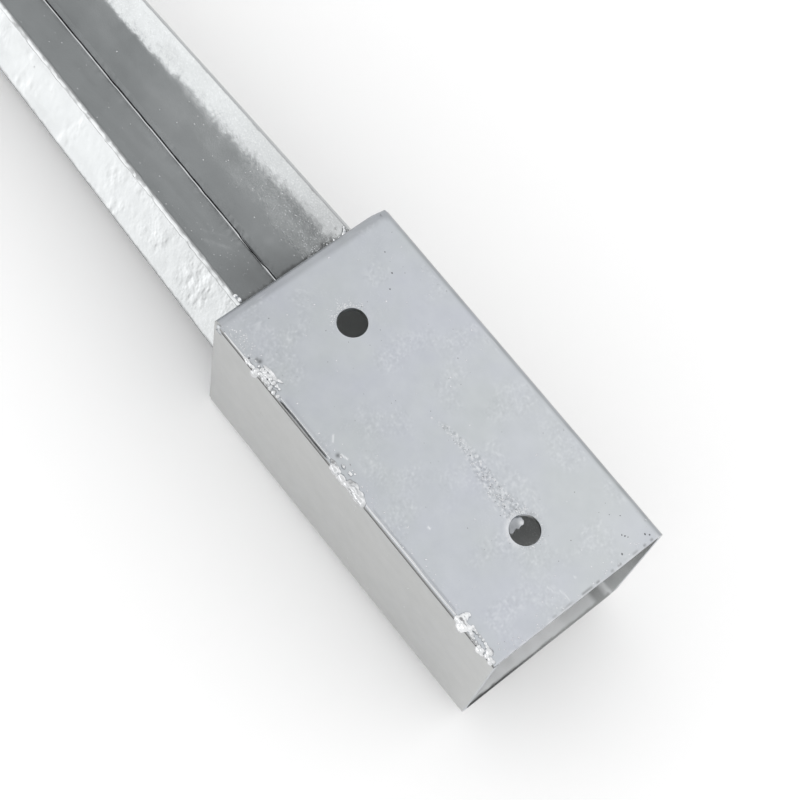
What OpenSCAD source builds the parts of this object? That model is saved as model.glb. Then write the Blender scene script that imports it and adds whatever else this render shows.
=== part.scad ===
// Drive-in post spike: a folded sheet-steel socket for a square post, welded to a cross-shaped spike.
// The spike is two sheets bent to right angles and set back to back, so that each gives two fins.
// +X runs out of the socket's mouth, and +Z is the outward side of the drilled front wall.
// The origin is the centre of the post's seat, on the inner face of the end plate.

/* [Socket] */
// Width of the square post that the socket takes
post_w = 70; // [50:1:120]
// Play left across the post
post_play = 1; // [0.5:0.5:4]
// Thickness of the steel sheet
sheet_t = 2; // [1.5:0.1:3]
// Length of the socket over its end plate
socket_len = 150; // [140:1:250]
// Inside radius of the socket's folds
fold_r = 2; // [1:0.5:4]
// Gap left open along the corner seam
seam_gap = 0.4; // [0.2:0.1:1]
// Lap of the end plate on the walls' ends
plate_lap = 1; // [0.5:0.1:1.4]
// Size of the relief cut beside the end plate's fold
relief = 1; // [0.5:0.5:3]

/* [Bolt holes] */
// Diameter of the bolt holes
hole_d = 11; // [6:0.5:14]
// Distance of each hole's centre from its end of the socket
hole_margin = 29; // [20:1:45]

/* [Spike] */
// Length of the spike from the end plate to its tip
spike_len = 600; // [400:10:800]
// Distance of the fins' top corners inside the socket's corners
fin_setback = 16.5; // [14:0.5:18]
// Reach that each fin loses between the end plate and the point
fin_narrowing = 16; // [4:0.5:16]
// Length of the pointed end
point_len = 90; // [40:5:200]
// Inside radius of the angles' bend
angle_r = 2; // [1:0.5:4]
// Turn of the cross from the socket's diagonals, in degrees
spike_turn = 3; // [0:0.5:6]
// Turn of the right-hand angle back about its bend, in degrees
right_skew = 2.5; // [0:0.5:4]

/* [Welds] */
// Length of each stitch on the corner seam
stitch_len = 20; // [12:1:25]
// Radius of the stitches' bead
stitch_r = 2.8; // [2.2:0.1:3.5]
// Distance of the first stitch from the post's seat
stitch_start = 14; // [5:1:25]
// Distance of the last stitch from the mouth
stitch_stop = 0.5; // [0.5:0.5:10]
// Place of the middle stitch between the first and the last, as a share of the way
stitch_mid = 0.42; // [0.3:0.01:0.7]
// Leg of the fillet welds round the fins' ends
fillet_leg = 3; // [2:0.5:5]
// Distance from the axis at which the fillet welds start
fillet_start = 13; // [11:1:16]
// Reach of the fillet welds past the fins' edges
fillet_over = 1; // [0.5:0.1:1.5]
// Radius of the runs along the spine
run_r = 0.9; // [0.6:0.1:1.2]

/* [Hidden] */
$fn = 48;

// Overshoot of every cut past the face that it opens
cut = 1;

// Half widths of the socket, inside and outside
inner_half = (post_w + post_play) / 2;
outer_half = inner_half + sheet_t;

// Outside radii of the folds
fold_out = fold_r + sheet_t;
angle_out = angle_r + sheet_t;

// Stations along X: the end plate's outer face, the centre of its fold and the mouth
plate_x = -sheet_t;
fold_x = plate_x + fold_out;
mouth_x = plate_x + socket_len;
plate_half = inner_half + plate_lap;

// Reach of the fins from the axis, at the end plate and where the point starts
fin_top = outer_half * sqrt(2) - fin_setback;
fin_low = fin_top - fin_narrowing;

// Where a fin's flat leaves the bend, as a reach and as an offset across the fin
flat_start = angle_out / sqrt(2);
flat_shift = angle_out - flat_start;

// Lean of each fin from the plane in which the two angles' bends touch
fin_lean = 45;

// Height of the spine runs above the line where the two bends touch
run_z = 2 * run_r;

// Spacing of a stitch's lumps, as a share of their radius, and their unevenness
lump_pitch = 0.9;
lump_swing = 0.14;
lump_phase = 137;

sheet_colour = [0.75, 0.77, 0.78];
fin_colour = [0.66, 0.68, 0.69];
weld_colour = [0.86, 0.87, 0.88];

// Extrudes a section drawn in Y and Z along X, from one station to another
module along_x(from, to) {
    translate([from, 0, 0])
        rotate([90, 0, 90])
            linear_extrude(height = to - from)
                children();
}

// Square outline with three rounded corners and a sharp one at the front left, where the seam is
module wall_outline(half, radius) {
    flat = half - radius;
    square([2 * flat, 2 * half], center = true);
    square([2 * half, 2 * flat], center = true);
    for (corner = [[1, 1], [1, -1], [-1, -1]])
        translate(flat * corner)
            circle(radius);
    translate([-half, flat])
        square(radius);
}

// Section of the four folded walls, with the front wall's edge lying over the left wall's edge
module wall_section() {
    difference() {
        wall_outline(outer_half, fold_out);
        wall_outline(inner_half, fold_r);
        translate([-outer_half - cut, inner_half - seam_gap])
            square([sheet_t + cut, seam_gap]);
    }
}

// The walls, without the front wall's first stretch, which the end plate's fold takes up.
// The left wall has a small relief beside that fold.
module folded_walls() {
    fold_z = outer_half - fold_out;
    difference() {
        along_x(0, mouth_x)
            wall_section();
        translate([-cut, -outer_half - cut, fold_z])
            cube([fold_x + cut, outer_half + fold_z + cut, fold_out + cut]);
        translate([-cut, -outer_half - cut, fold_z - relief])
            cube([fold_x + relief + cut, sheet_t + 2 * cut, inner_half - fold_z + relief]);
    }
}

// The quarter-round fold and the end plate that hangs from it
module folded_end() {
    intersection() {
        translate([fold_x, 0, outer_half - fold_out])
            rotate([90, 0, 0])
                linear_extrude(height = 2 * plate_half, center = true)
                    intersection() {
                        difference() {
                            circle(fold_out);
                            circle(fold_r);
                        }
                        translate([-fold_out, 0])
                            square(fold_out);
                    }
        along_x(plate_x, fold_x)
            wall_outline(outer_half, fold_out);
    }
    translate([plate_x, -plate_half, -plate_half])
        cube([sheet_t, 2 * plate_half, plate_half + outer_half - fold_out]);
}

// Both bolt holes, each through the front and the back wall
module bolt_holes() {
    for (x = [plate_x + hole_margin, mouth_x - hole_margin])
        translate([x, 0, 0])
            cylinder(d = hole_d, h = 2 * (outer_half + cut), center = true);
}

module socket() {
    color(sheet_colour)
        difference() {
            union() {
                folded_walls();
                folded_end();
            }
            bolt_holes();
        }
}

// Places what is drawn about the spike's own axis, with its fins turned from the diagonals
module on_spike() {
    translate([plate_x, 0, 0])
        rotate([-spike_turn, 0, 0])
            children();
}

// Turns what is drawn for the right-hand angle about the centre of its bend
module on_right_angle() {
    translate([0, angle_out, 0])
        rotate([right_skew, 0, 0])
            translate([0, -angle_out, 0])
                children();
}

// A slab with the outline of one fin, standing up along +Z, between two offsets across the fin
module fin_slab(from, to) {
    translate([0, from, 0])
        rotate([90, 0, 180])
            linear_extrude(height = to - from)
                polygon([
                    [0, 0],
                    [0, fin_top],
                    [spike_len - point_len, fin_low],
                    [spike_len, flat_start],
                    [spike_len, 0]
                ]);
}

// Turns an upright fin into the upper and the lower arm of the right-hand angle
module both_arms() {
    for (flip = [0, 1])
        mirror([0, 0, flip])
            rotate([-fin_lean, 0, 0])
                children();
}

// Right-angled wedge with a rounded point, in Y and Z, opening towards +Y about the bend's centre
module wedge(radius, reach) {
    translate([angle_out, 0]) {
        circle(radius);
        rotate(-fin_lean)
            translate([0, -radius])
                square([reach, reach + radius]);
        rotate(-fin_lean)
            translate([-radius, 0])
                square([reach + radius, reach]);
    }
}

// One sheet bent to a right angle, opening towards +Y, with tapered and pointed fins
module bent_angle() {
    intersection() {
        along_x(-spike_len, 0)
            difference() {
                wedge(angle_out, fin_top);
                wedge(angle_r, fin_top + cut);
            }
        union() {
            both_arms()
                fin_slab(-angle_out, angle_out);
        }
    }
}

module spike_left() {
    color(fin_colour)
        on_spike()
            rotate([180, 0, 0])
                bent_angle();
}

module spike_right() {
    color(fin_colour)
        on_spike()
            on_right_angle()
                bent_angle();
}

// Solid corner that the stitches lie on, with the seam's gap open
module seam_corner() {
    reach = 4 * stitch_r;
    difference() {
        translate([plate_x, -outer_half, outer_half - reach])
            cube([socket_len, reach, reach]);
        translate([plate_x - cut, -outer_half - cut, inner_half - seam_gap])
            cube([socket_len + 2 * cut, sheet_t + cut, seam_gap]);
    }
}

// One hand-made stitch: a chain of uneven lumps along the seam's edge
module stitch(from) {
    lumps = ceil((stitch_len - 2 * stitch_r) / (lump_pitch * stitch_r));
    step = (stitch_len - 2 * stitch_r) / lumps;
    for (i = [0 : lumps])
        translate([
            from + stitch_r + i * step,
            -outer_half + sheet_t / 2,
            inner_half + sheet_t / 2
        ])
            sphere(stitch_r * (1 - lump_swing * abs(sin(i * lump_phase))));
}

module seam_welds() {
    last = mouth_x - stitch_stop - stitch_len;
    color(weld_colour)
        difference() {
            for (from = [stitch_start, stitch_start + stitch_mid * (last - stitch_start), last])
                stitch(from);
            seam_corner();
        }
}

// Weld metal along both faces of one upright fin's end and round its edge
module fin_weld() {
    fillet_stop = fin_top + fillet_over - fillet_leg;
    difference() {
        for (y = [-flat_shift, sheet_t - flat_shift])
            translate([0, y, 0]) {
                translate([0, 0, fillet_start])
                    cylinder(r = fillet_leg, h = fillet_stop - fillet_start);
                for (end = [fillet_start, fillet_stop])
                    translate([0, 0, end])
                        sphere(fillet_leg);
            }
        translate([0, -2 * fillet_leg, 0])
            cube([2 * fillet_leg, 4 * fillet_leg, fin_top + fillet_leg]);
        fin_slab(-flat_shift, sheet_t - flat_shift);
    }
}

module spike_welds() {
    color(weld_colour)
        on_spike() {
            on_right_angle()
                both_arms()
                    fin_weld();
            rotate([180, 0, 0])
                both_arms()
                    fin_weld();
        }
}

// Thin runs in the front and back valley, between the two bends
module spine_runs() {
    color(weld_colour)
        on_spike()
            for (side = [0, 180])
                rotate([side, 0, 0])
                    along_x(-spike_len, 0)
                        difference() {
                            translate([0, run_z])
                                circle(run_r);
                            for (y = [-angle_out, angle_out])
                                translate([y, 0])
                                    circle(angle_out);
                        }
}

socket();
spike_left();
spike_right();
seam_welds();
spike_welds();
spine_runs();
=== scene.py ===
"""Looks of the drive-in post spike: galvanised sheet, rough zinc and hand-made stitch welds."""

import itertools
import math

import bmesh
import bpy
import numpy as np
from mathutils import Matrix, Vector


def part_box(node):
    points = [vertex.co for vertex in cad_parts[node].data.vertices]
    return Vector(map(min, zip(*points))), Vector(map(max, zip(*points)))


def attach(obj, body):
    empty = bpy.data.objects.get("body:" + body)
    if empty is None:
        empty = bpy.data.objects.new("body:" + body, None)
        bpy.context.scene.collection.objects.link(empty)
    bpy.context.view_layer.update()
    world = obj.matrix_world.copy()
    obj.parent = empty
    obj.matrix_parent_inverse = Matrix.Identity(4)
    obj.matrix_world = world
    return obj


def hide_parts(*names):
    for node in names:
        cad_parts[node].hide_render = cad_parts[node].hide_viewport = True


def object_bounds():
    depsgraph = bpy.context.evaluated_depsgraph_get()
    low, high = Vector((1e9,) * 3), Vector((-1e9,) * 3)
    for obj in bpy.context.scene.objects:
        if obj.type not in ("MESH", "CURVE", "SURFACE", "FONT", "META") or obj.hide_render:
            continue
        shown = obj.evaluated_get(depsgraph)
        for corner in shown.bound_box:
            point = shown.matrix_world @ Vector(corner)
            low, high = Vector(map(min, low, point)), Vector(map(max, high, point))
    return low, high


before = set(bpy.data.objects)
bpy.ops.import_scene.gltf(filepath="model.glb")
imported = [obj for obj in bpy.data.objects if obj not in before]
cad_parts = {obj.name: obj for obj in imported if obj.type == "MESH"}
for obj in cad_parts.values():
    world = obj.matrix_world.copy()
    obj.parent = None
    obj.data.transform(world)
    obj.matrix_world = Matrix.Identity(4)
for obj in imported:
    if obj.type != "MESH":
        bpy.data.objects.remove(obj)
cad_box = [[float(c) for c in corner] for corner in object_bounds()]

MM = 0.001
rng = np.random.default_rng(11)

# Sizes of the CAD model, in metres, and the turns of its fins, in degrees
socket_lo, socket_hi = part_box("socket")
HALF = socket_hi.y
MOUTH_X = socket_hi.x
PLATE_X = socket_lo.x
SHEET = -PLATE_X
INNER_HALF = HALF - SHEET + 0.2 * MM
TIP_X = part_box("spike_left")[0].x
HOLE_END_X = 27 * MM
HOLE_MOUTH_X = 119 * MM
HOLE_RIM = 5.85 * MM
SEAM_GAP = 0.4 * MM
FIN_REACH = 36.5 * MM
FIN_TAPER = 16 / 510
BEND_OUT = 4 * MM
SPIKE_TURN = 3
RIGHT_SKEW = 2.5

# The stretch of the spike next to the socket that the photo shows, which is cut finely
NEAR_X = -175 * MM

# Grid that the faces are cut on, and into how many parts the front wall's cells are divided again
COARSE = 3 * MM
PARTS = 7

# Rounding of the sharp edges of the socket and of the fins
SOCKET_ROUND = 0.22 * MM
FIN_ROUND = 0.7 * MM

# Rough streak on the front wall: its span along X, and the span across it for its marks, in millimetres
STREAK_SPAN = (70, 118)
STREAK_ACROSS = (-5, 8)

# Side of the mouth's hole on which its rim gets a painted highlight, along X and Y
RIM_SIDE = (-0.63, -0.78)

# Line of sight over the end plate's fold, beyond which the fins' ends are hidden: a point on it and its slope
SIGHT_X, SIGHT_Z, SIGHT_SLOPE = -1.5 * MM, 35 * MM, 0.319

# Colours of darkened zinc, for real stains and for painted shade, and of bright zinc, for scrapes and for
# painted highlights
STAIN_AND_SHADE = (0.06, 0.06, 0.06, 1)
SHINE = (0.86, 0.87, 0.88, 1)

# Half width of the floor, in metres
FLOOR_HALF = 6

# Camera of the photo, fitted to the socket's edges
CAMERA_AT = Vector((0.19148, -0.20191, 0.62602))
CAMERA_TO = Vector((0.05011, 0.00800, 0.0))
CAMERA_ROLL = math.radians(-18.33)
CAMERA_LENS = 85.02

X_AXIS, Y_AXIS, Z_AXIS = np.eye(3)

# Half a right angle's turn about Z, which hides the grid of a second layer of noise
TURNED = np.array(((1, 1, 0), (-1, 1, 0), (0, 0, math.sqrt(2)))) / math.sqrt(2)


def across_spike(degrees):
    """Direction across the spike, turned from +Y towards +Z."""
    angle = math.radians(degrees)
    return np.array((0.0, math.cos(angle), math.sin(angle)))


# Faces that carry zinc marks: a point on the face, its two directions and its outward normal
FACE = {
    "front": (HALF * Z_AXIS, X_AXIS, Y_AXIS, Z_AXIS),
    "left": (-HALF * Y_AXIS, X_AXIS, Z_AXIS, -Y_AXIS),
    "right": (HALF * Y_AXIS, X_AXIS, Z_AXIS, Y_AXIS),
    "back": (-HALF * Z_AXIS, X_AXIS, Y_AXIS, -Z_AXIS),
}
WALLS = tuple(FACE)

# Fins by corner: the direction of each, and its two faces, on the bend's outer side and on its inner side
FIN = {}
for arm, degrees, bend_side, to_valley in (
    ("front_right", 45 - SPIKE_TURN + RIGHT_SKEW, 1, 90),
    ("front_left", 135 - SPIKE_TURN, -1, -90),
    ("back_left", 225 - SPIKE_TURN, -1, 90),
    ("back_right", 315 - SPIKE_TURN + RIGHT_SKEW, 1, -90),
):
    FIN[arm] = across_spike(degrees)
    valley = across_spike(degrees + to_valley)
    bend_centre = bend_side * BEND_OUT * across_spike(-SPIKE_TURN)
    lift = bend_centre @ valley + BEND_OUT
    FACE[arm + "_valley"] = (lift * valley, X_AXIS, FIN[arm], valley)
    FACE[arm + "_inner"] = ((lift - SHEET) * valley, X_AXIS, FIN[arm], -valley)


def lattice(cells, seed):
    """Pseudo-random value from 0 to 1 for each whole-number cell."""
    mixed = cells[:, 0] * 374761393 + cells[:, 1] * 668265263 + cells[:, 2] * 962287 + seed * 1274126177
    mixed = (mixed ^ (mixed >> 13)) * 1274126177
    return ((mixed ^ (mixed >> 16)) & 0xFFFF) / 0xFFFF


def noise(points, size, seed):
    """Smooth noise from -1 to 1, with features of that size."""
    scaled = points / size
    base = np.floor(scaled).astype(np.int64)
    part = scaled - base
    part = part * part * (3 - 2 * part)
    total = np.zeros(len(points))
    for corner in itertools.product((0, 1), repeat=3):
        weight = np.prod(np.where(corner, part, 1 - part), axis=1)
        total += weight * lattice(base + corner, seed)
    return 2 * total - 1


def smoothstep(low, high, values):
    """Soft step from 0 at low to 1 at high."""
    t = np.clip((values - low) / (high - low), 0, 1)
    return t * t * (3 - 2 * t)


def between(low, high, soft, values):
    """1 between low and high, and 0 outside, with soft ends."""
    return smoothstep(low - soft, low + soft, values) * (1 - smoothstep(high - soft, high + soft, values))


def bump_at(values, middle, width):
    """A smooth rise to 1 at the middle."""
    return np.exp(-(((values - middle) / width) ** 2))


def near_line(x, y, start, stop, width):
    """1 on a straight mark between two places, falling to 0 beside it."""
    along = np.subtract(stop, start)
    t = np.clip(((x - start[0]) * along[0] + (y - start[1]) * along[1]) / (along @ along), 0, 1)
    return bump_at(np.hypot(x - start[0] - t * along[0], y - start[1] - t * along[1]), 0, width)


def on_face(name, places, normals):
    """Places in a face's own two directions, and 1 for those that lie on it and 0 for the others."""
    origin, along, across, normal = FACE[name]
    lifted = (places - origin) @ normal
    lies = (np.abs(lifted) < 0.4 * MM) & (normals @ normal > 0.8)
    return places @ along, places @ across, lies.astype(float)


def clean_solid(node, edge_round):
    """The CAD node's solid with plain faces and slightly rounded sharp edges."""
    bm = bmesh.new()
    bm.from_mesh(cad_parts[node].data)
    bmesh.ops.remove_doubles(bm, verts=bm.verts, dist=1e-6)
    bmesh.ops.dissolve_limit(bm, angle_limit=math.radians(0.5), verts=bm.verts, edges=bm.edges)
    sharp = [e for e in bm.edges if e.calc_face_angle(0) > math.radians(40)]
    bmesh.ops.bevel(
        bm, geom=sharp, offset=edge_round, segments=3, profile=0.5, affect="EDGES", clamp_overlap=True
    )
    return bm


def slice_faces(bm, chosen, direction, step, span=None):
    """Cuts the faces that chosen() takes by planes across direction, on a grid of that step."""
    direction = Vector(direction).normalized()
    faces = [f for f in bm.faces if chosen(f)]
    places = [direction.dot(v.co) for f in faces for v in f.verts]
    low, high = (min(places), max(places)) if span is None else span
    geom = faces + list(dict.fromkeys(e for f in faces for e in f.edges))
    geom += list(dict.fromkeys(v for f in faces for v in f.verts))
    for k in range(math.ceil(low / step - 0.5), math.ceil(high / step - 0.5)):
        at = (k + 0.5) * step * direction
        cut = bmesh.ops.bisect_plane(bm, geom=geom, dist=1e-7, plane_co=at, plane_no=direction)
        geom = cut["geom"]


def refine(bm, chosen, cuts, along=None):
    """Divides the four-sided faces that chosen() takes into a finer grid, or only along one direction."""
    edges = list(dict.fromkeys(e for f in bm.faces if len(f.verts) == 4 and chosen(f) for e in f.edges))
    if along is not None:
        along = Vector(along)
        edges = [e for e in edges if abs((e.verts[0].co - e.verts[1].co).normalized().dot(along)) > 0.9]
    bmesh.ops.subdivide_edges(bm, edges=edges, cuts=cuts, use_grid_fill=True)


def area_normals(mesh):
    """Vertex normals weighted by the area of the faces, so that flats stay flat beside small rounds."""
    count = len(mesh.polygons)
    normal = np.empty(3 * count)
    area = np.empty(count)
    loops = np.empty(count, dtype=np.int64)
    corner = np.empty(len(mesh.loops), dtype=np.int64)
    mesh.polygons.foreach_get("normal", normal)
    mesh.polygons.foreach_get("area", area)
    mesh.polygons.foreach_get("loop_total", loops)
    mesh.loops.foreach_get("vertex_index", corner)
    spread = np.repeat(normal.reshape(-1, 3) * area[:, None], loops, axis=0)
    total = np.zeros((len(mesh.vertices), 3))
    np.add.at(total, corner, spread)
    return total / np.maximum(np.linalg.norm(total, axis=1, keepdims=True), 1e-30)


def vertex_places(mesh):
    places = np.empty(3 * len(mesh.vertices))
    mesh.vertices.foreach_get("co", places)
    return places.reshape(-1, 3)


def move_vertices(mesh, places):
    """Puts the vertices at these places, held inside the box of the CAD model."""
    mesh.vertices.foreach_set("co", np.clip(places, *cad_box).ravel())
    mesh.update()


def mesh_of(bm, name):
    mesh = bpy.data.meshes.new(name)
    bm.to_mesh(mesh)
    bm.free()
    return mesh


def finished(name, mesh, slot, replaced=(), rough=None, dark=None, bright=None, lean=0):
    """Turns a mesh into a smooth piece.

    The shares give rough zinc, and darker and brighter zinc at its vertices, from real stains and scrapes and
    from painted shade and painted highlights, and lean tips their normals.
    """
    for attribute, share in (("rough_zinc", rough), ("dark_zinc", dark), ("bright_zinc", bright)):
        share = np.zeros(len(mesh.vertices)) if share is None else np.clip(share, 0, 1)
        mesh.attributes.new(attribute, "FLOAT", "POINT").data.foreach_set("value", share)
    move_vertices(mesh, vertex_places(mesh))
    mesh.shade_smooth()
    normals = area_normals(mesh) + lean
    mesh.normals_split_custom_set_from_vertices(normals / np.linalg.norm(normals, axis=1, keepdims=True))
    piece = bpy.data.objects.new(name, mesh)
    bpy.context.collection.objects.link(piece)
    if not mesh.materials:
        mesh.materials.append(ZINC[slot])
    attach(piece, "root")
    for node in replaced:
        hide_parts(node)


def melted(name, lumps, slot, voxel, crumple, contrast, replaced=(), glow=None):
    """A piece of lumps that have flowed together and crumpled. Each lump is a centre and three radii.

    The folds get painted highlights and the creases painted shade by the contrast, and glow adds painted
    highlight by place.
    """
    bm = bmesh.new()
    for centre, radii in lumps:
        place = Matrix.Translation(centre) @ Matrix.Diagonal((*radii, 1))
        bmesh.ops.create_icosphere(bm, subdivisions=2, radius=1, matrix=place)
    blank = bpy.data.objects.new(name + "_lumps", mesh_of(bm, name + "_lumps"))
    bpy.context.collection.objects.link(blank)
    join = blank.modifiers.new("Join", "REMESH")
    join.mode = "VOXEL"
    join.voxel_size = voxel
    flow = blank.modifiers.new("Flow", "SMOOTH")
    flow.iterations = 3
    mesh = bpy.data.meshes.new_from_object(blank.evaluated_get(bpy.context.evaluated_depsgraph_get()))
    mesh.name = name
    bpy.data.objects.remove(blank)
    places = vertex_places(mesh)
    folds = 0.65 - 1.3 * np.abs(noise(places * (0.45, 1, 1), 1.4 * MM, 21))
    folds += 0.35 - 0.7 * np.abs(noise(places * (0.6, 1, 1), 0.8 * MM, 22))
    move_vertices(mesh, places + area_normals(mesh) * crumple * folds[:, None])
    # Painted shade in the creases and painted highlights on the folds
    dark = contrast * smoothstep(0.3, -0.5, folds)
    bright = contrast * smoothstep(0.45, 0.85, folds)
    if glow is not None:
        bright = np.maximum(bright, glow(places) * (1 - smoothstep(0.1, -0.3, folds)))
    finished(name, mesh, slot, replaced, dark=dark, bright=bright)


def tubes(name, runs, sides):
    """One mesh of round runs. Each run is a row of centres along X and the radius at each."""
    bm = bmesh.new()
    turn = [2 * math.pi * k / sides for k in range(sides)]
    for centres, radii in runs:
        rings = [
            [bm.verts.new(c + r * np.array((0, math.cos(t), math.sin(t)))) for t in turn]
            for c, r in zip(centres, radii)
        ]
        for one, two in zip(rings, rings[1:]):
            for k in range(sides):
                bm.faces.new((one[k], two[k], two[k - 1], one[k - 1]))
        bm.faces.new(rings[0])
        bm.faces.new(rings[-1][::-1])
    bmesh.ops.recalc_face_normals(bm, faces=bm.faces)
    return mesh_of(bm, name)


def domes(name, spots, rise_range, sides=8):
    """One mesh of small round pimples. Each spot is a face's name, two places on it and a radius."""
    rows = ((1.0, -0.25), (0.86, 0.4), (0.5, 0.82))
    bm = bmesh.new()
    for face, a, b, radius in spots:
        origin, along, across, normal = FACE[face]
        centre = origin + a * along + b * across
        height = radius * rng.uniform(*rise_range)
        stretch = 1 + 0.5 * rng.random()
        heading = math.pi * rng.random()
        lead = math.cos(heading) * along + math.sin(heading) * across
        side = np.cross(normal, lead)
        rings = []
        for reach, rise in rows:
            ring = []
            for k in range(sides):
                turn = 2 * math.pi * k / sides
                out = stretch * math.cos(turn) * lead + math.sin(turn) * side
                ring.append(bm.verts.new(centre + radius * reach * out + height * rise * normal))
            rings.append(ring)
        top = bm.verts.new(centre + height * normal)
        for low, high in zip(rings, rings[1:]):
            for k in range(sides):
                bm.faces.new((low[k - 1], low[k], high[k], high[k - 1]))
        for k in range(sides):
            bm.faces.new((rings[-1][k - 1], rings[-1][k], top))
        bm.faces.new(rings[0][::-1])
    bmesh.ops.recalc_face_normals(bm, faces=bm.faces)
    return mesh_of(bm, name)


def zinc(name, cool, warm, rough, grain, metallic=1.0):
    """Hot-dip galvanised steel: two close greys in soft patches with a bloom, fine grain and painted glints
    as bright specks.

    Where the mesh says so, it is rough and specked with painted glints, and darker or brighter by real stains
    and scrapes and by painted shade and painted highlights.
    """
    material = bpy.data.materials.new(name)
    material.use_nodes = True
    tree = material.node_tree
    shader = tree.nodes["Principled BSDF"]
    shader.inputs["Metallic"].default_value = metallic
    where = tree.nodes.new("ShaderNodeTexCoord")

    def put(socket, value):
        if isinstance(value, bpy.types.NodeSocket):
            tree.links.new(value, socket)
        else:
            socket.default_value = value

    def share(kind):
        made = tree.nodes.new("ShaderNodeAttribute")
        made.attribute_name = kind + "_zinc"
        return made.outputs["Fac"]

    def grains(scale, detail):
        made = tree.nodes.new("ShaderNodeTexNoise")
        for key, value in (("Scale", scale), ("Detail", detail), ("Roughness", 0.6)):
            made.inputs[key].default_value = value
        put(made.inputs["Vector"], where.outputs["Object"])
        return made.outputs["Fac"]

    def ranged(value, low, high, to_low, to_high):
        made = tree.nodes.new("ShaderNodeMapRange")
        keys = ("Value", "From Min", "From Max", "To Min", "To Max")
        for key, number in zip(keys, (value, low, high, to_low, to_high)):
            put(made.inputs[key], number)
        return made.outputs["Result"]

    def worked(operation, *values):
        made = tree.nodes.new("ShaderNodeMath")
        made.operation = operation
        for socket, value in zip(made.inputs, values):
            put(socket, value)
        return made.outputs["Value"]

    def mixed(factor, under, over, blend="MIX"):
        made = tree.nodes.new("ShaderNodeMix")
        made.data_type = "RGBA"
        made.blend_type = blend
        for key, value in (("Factor", factor), ("A", under), ("B", over)):
            put(made.inputs[key], value)
        return made.outputs["Result"]

    def bumped(strength, distance, height, normal=None):
        made = tree.nodes.new("ShaderNodeBump")
        made.inputs["Distance"].default_value = distance
        put(made.inputs["Strength"], strength)
        put(made.inputs["Height"], height)
        if normal is not None:
            put(made.inputs["Normal"], normal)
        return made.outputs["Normal"]

    zone = share("rough")
    patches = grains(28, 4)
    tone = tree.nodes.new("ShaderNodeValToRGB")
    tone.color_ramp.elements[0].position = 0.36
    tone.color_ramp.elements[0].color = (*cool, 1)
    tone.color_ramp.elements[1].position = 0.64
    tone.color_ramp.elements[1].color = (*warm, 1)
    put(tone.inputs["Fac"], patches)
    bloom = ranged(grains(150, 6), 0.3, 0.7, 0.35, 0.65)
    colour = mixed(0.12, tone.outputs["Color"], bloom, "OVERLAY")
    # Darker by the dark share: real stains and painted shade
    colour = mixed(share("dark"), colour, STAIN_AND_SHADE)
    # Painted glints as bright specks where the zinc is rough, and scrapes and painted highlights by the
    # bright share
    specks = worked("MULTIPLY", ranged(grains(1700, 2), 0.56, 0.66, 0, 1.1), zone)
    colour = mixed(worked("MAXIMUM", specks, share("bright")), colour, SHINE)
    put(shader.inputs["Base Color"], colour)
    sheen = ranged(patches, 0.3, 0.7, rough - 0.04, rough + 0.04)
    put(shader.inputs["Roughness"], worked("MULTIPLY_ADD", zone, 0.45, sheen))
    fine = bumped(grain, 0.0002, grains(900, 3))
    put(shader.inputs["Normal"], bumped(zone, 0.00025, grains(1500, 4), fine))
    return material


ZINC = {
    "galvanised_sheet": zinc("zinc_sheet", (0.485, 0.505, 0.545), (0.49, 0.515, 0.53), 0.36, 0.08),
    "galvanised_fin": zinc("zinc_fin", (0.445, 0.458, 0.462), (0.465, 0.478, 0.482), 0.20, 0.08),
    "galvanised_weld": zinc("zinc_weld", (0.58, 0.59, 0.60), (0.64, 0.65, 0.66), 0.18, 0.10),
}
# Lighter, warmer copy of the sheet's zinc for the side walls and the back: painted light
ZINC_SIDE_LIT = zinc("zinc_side_lit", (0.52, 0.527, 0.525), (0.535, 0.54, 0.535), 0.36, 0.08)
# Inside the socket: a grainier, half-diffuse zinc whose lighter colour is partly painted light
ZINC_INSIDE_LIT = zinc("zinc_inside_lit", (0.58, 0.595, 0.595), (0.68, 0.69, 0.69), 0.38, 0.3, metallic=0.5)
# Lighter copy of the zinc for the pimples: painted glints
ZINC_SPARK = zinc("zinc_spark", (0.66, 0.67, 0.68), (0.74, 0.75, 0.76), 0.25, 0.05)


def along_streak(x, y):
    """The rough streak that runs from the mouth's hole along the front wall, as a share."""
    start = STREAK_SPAN[0] * MM
    reach = np.clip((x - start) / (HOLE_MOUTH_X - start), 0, 1)
    middle = 1.6 * MM + 0.8 * MM * np.sin(x / (6 * MM))
    half_width = (0.8 + 3.8 * reach) * MM
    inside = 1 - smoothstep(0.4 * half_width, 1.3 * half_width, np.abs(y - middle))
    return inside * smoothstep(0.0, 0.15, reach) * (x < HOLE_MOUTH_X)


def front_roughness(x, y, places):
    """Share of rough zinc over the front wall: the streak, both holes' rims, the seam and the mouth."""
    from_end_hole = np.hypot(x - HOLE_END_X, y)
    from_mouth_hole = np.hypot(x - HOLE_MOUTH_X, y)
    rim_end = (1 - smoothstep(6 * MM, 9 * MM, from_end_hole)) * smoothstep(-1 * MM, 5 * MM, HOLE_END_X - x)
    rim_mouth = 1 - smoothstep(5.8 * MM, 8 * MM, from_mouth_hole)
    at_corner = 1 - smoothstep(8 * MM, 24 * MM, x)
    seam = (1 - smoothstep(1 * MM, 7 * MM, y + HALF)) * (0.3 + 0.7 * at_corner)
    mouth_edge = 1 - smoothstep(0.5 * MM, 3 * MM, MOUTH_X - x)
    broken = smoothstep(-0.1, 0.5, noise(places, 2.5 * MM, 5))
    share = 0.36 * along_streak(x, y) + 0.35 * rim_end + 0.4 * rim_mouth
    share += broken * (0.3 * seam + 0.2 * mouth_edge)
    return share + 0.10 * smoothstep(0.15, 0.65, noise(places, 12 * MM, 6)) * broken


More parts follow.
